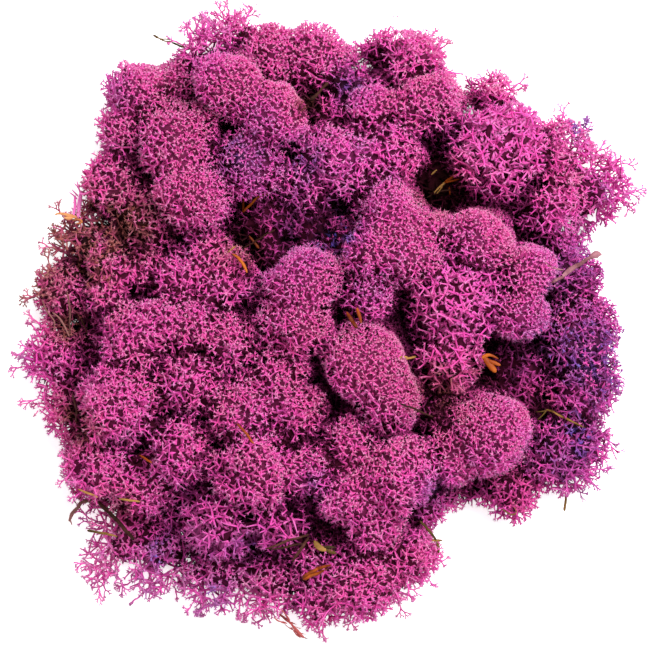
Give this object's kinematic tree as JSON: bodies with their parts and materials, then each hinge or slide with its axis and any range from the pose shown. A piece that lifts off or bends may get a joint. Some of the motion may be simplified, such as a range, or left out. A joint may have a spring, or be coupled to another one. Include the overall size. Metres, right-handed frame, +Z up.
{
  "type": "moss clump",
  "caption": "Loose clump of dyed reindeer moss: finely branched, rounded cushions packed close on cut bases, with needles, twigs and dry scraps caught in it.",
  "frame": {"origin": "on the ground under the middle of the clump's box", "axes": "+Z up out of the cut bases, +X to the right and +Y to the top of the clump as it is seen from straight above"},
  "size_m": [0.252, 0.2494, 0.0748],
  "materials": {
    "pink_moss": "matt, soft and springy",
    "rose_moss": "matt, soft and springy",
    "violet_moss": "matt, soft and springy",
    "plum_moss": "matt, soft and springy",
    "brown_moss": "matt, dry",
    "dark_bark": "matt bark",
    "rust_needle": "slightly waxy",
    "mauve_stem": "matt, dry",
    "straw": "matt, dry",
    "tan_scrap": "matt, dry",
    "red_scrap": "matt, dry"
  },
  "bodies": {
    "root": {"back_left_crown": "pink_moss", "back_left_cushion": "pink_moss", "back_left_shoulder": "pink_moss", "left_upper_fringe": "rose_moss", "back_edge_tuft": "rose_moss", "back_ridge": "rose_moss", "back_right_crown": "pink_moss", "back_right_cushion": "pink_moss", "violet_nub": "violet_moss", "back_centre_cushion": "violet_moss", "lone_head": "rose_moss", "right_net_cushion": "pink_moss", "right_upper_fringe": "rose_moss", "shaded_hollow_tuft": "plum_moss", "shaded_inner_tuft": "plum_moss", "blue_tipped_nub": "violet_moss", "centre_crown": "pink_moss", "centre_right_dome": "pink_moss", "centre_net_cushion": "pink_moss", "right_inner_dome": "rose_moss", "small_inner_dome": "violet_moss", "left_centre_dome": "pink_moss", "round_centre_dome": "pink_moss", "shaded_right_hollow": "plum_moss", "front_right_dome": "pink_moss", "front_dome": "pink_moss", "front_violet_tuft": "violet_moss", "left_net_cushion": "pink_moss", "left_small_heads": "pink_moss", "left_edge_head": "pink_moss", "brown_dead_tuft": "brown_moss", "left_edge_fringe": "pink_moss", "left_front_ridge": "pink_moss", "left_front_cushion": "pink_moss", "left_front_corner": "pink_moss", "inner_front_cushion": "pink_moss", "front_left_dome": "pink_moss", "front_net_cushion": "pink_moss", "front_left_fringe": "rose_moss", "front_fringe": "violet_moss", "front_edge_dome": "pink_moss", "right_back_shoulder": "plum_moss", "right_side_cushion": "violet_moss", "right_front_cushion": "violet_moss", "right_front_shade": "plum_moss", "forked_twig": "dark_bark", "dry_leaf_stem": "mauve_stem", "pine_needle_pair": "rust_needle", "pine_needle_centre": "rust_needle", "brown_needle_front": "dark_bark", "thin_stem_right": "straw", "grass_blade_left": "straw", "grass_blade_back": "straw", "dark_twig_back": "dark_bark", "curved_stem_front": "straw", "dry_leaf_scrap": "straw", "bud_scale": "rust_needle", "bark_scrap_left": "tan_scrap", "bark_strip_front": "red_scrap"}
  },
  "joints": []
}
